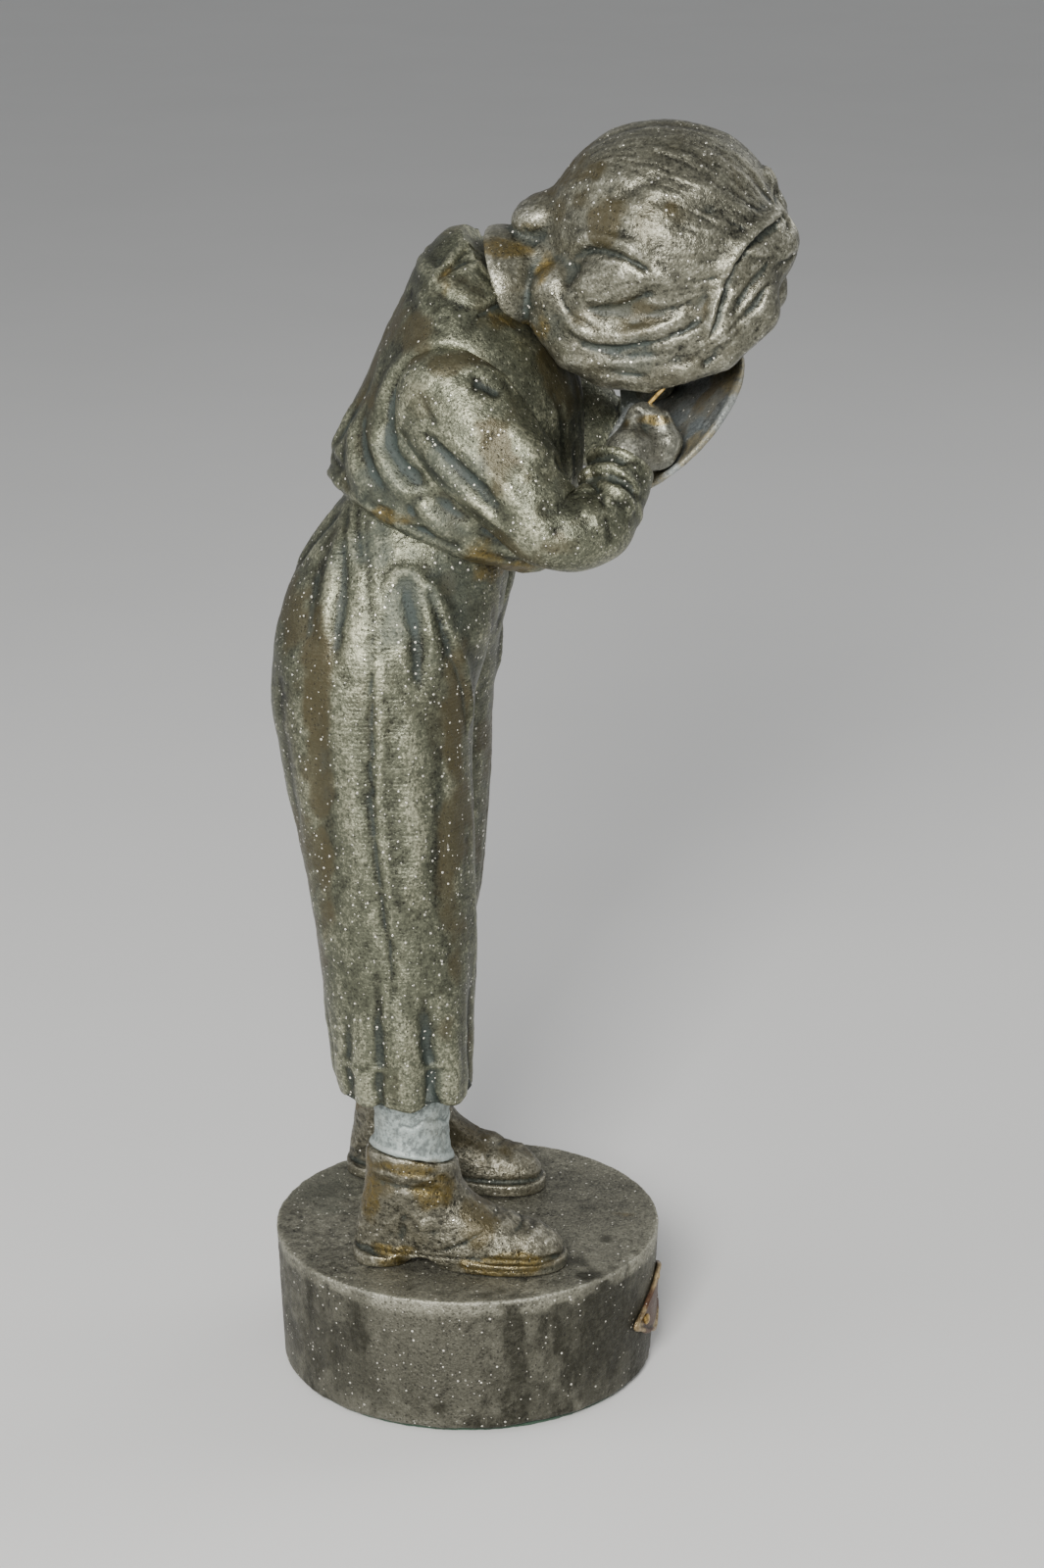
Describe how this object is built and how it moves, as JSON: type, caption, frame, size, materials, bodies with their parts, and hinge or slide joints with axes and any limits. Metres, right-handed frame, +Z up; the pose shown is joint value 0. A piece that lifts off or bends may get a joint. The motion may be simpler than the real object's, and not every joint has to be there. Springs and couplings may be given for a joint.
{
  "type": "figure trophy",
  "caption": "Cast metal statuette of a standing child with a bowed head, working on a small round dish with a thin rod, on a round drum base with a blank plate.",
  "frame": {"origin": "middle of the underside of the base, on the surface that the trophy stands on", "axes": "+X the way the figure faces, +Y the figure's left, +Z up"},
  "size_m": [0.1589, 0.1214, 0.3891],
  "materials": {
    "felt": "dark green felt",
    "drum_metal": "mottled brown-black patina with green streaks and worn edges",
    "plate_metal": "orange-brown lacquer worn at the border",
    "brass": "dull brass",
    "steel": "plain steel",
    "shoe_metal": "brown lacquered cast metal with golden wear",
    "sock_metal": "pale blue-grey bare cast metal",
    "trouser_metal": "aged grey-brown cast metal with fine horizontal ribbing and sparkle",
    "jacket_metal": "aged grey-brown cast metal with green and brass patches",
    "head_metal": "aged grey-brown cast metal with bright strands",
    "hand_metal": "aged grey cast metal",
    "dish_metal": "matte grey cast metal with a brownish rim"
  },
  "bodies": {
    "root": {"base_felt": "felt", "base_drum": "drum_metal", "name_plate": "plate_metal", "right_plate_pin": "brass", "left_plate_pin": "brass", "right_stud": "steel", "right_washer": "steel", "right_nut": "steel", "left_stud": "steel", "left_washer": "steel", "left_nut": "steel", "right_shoe": "shoe_metal", "left_shoe": "shoe_metal", "right_sock": "sock_metal", "left_sock": "sock_metal", "right_trouser_leg": "trouser_metal", "left_trouser_leg": "trouser_metal", "jacket": "jacket_metal", "right_sleeve": "jacket_metal", "left_sleeve": "jacket_metal", "head": "head_metal", "right_hand": "hand_metal", "left_hand": "hand_metal", "dish": "dish_metal", "brass_rod": "brass"}
  },
  "joints": []
}
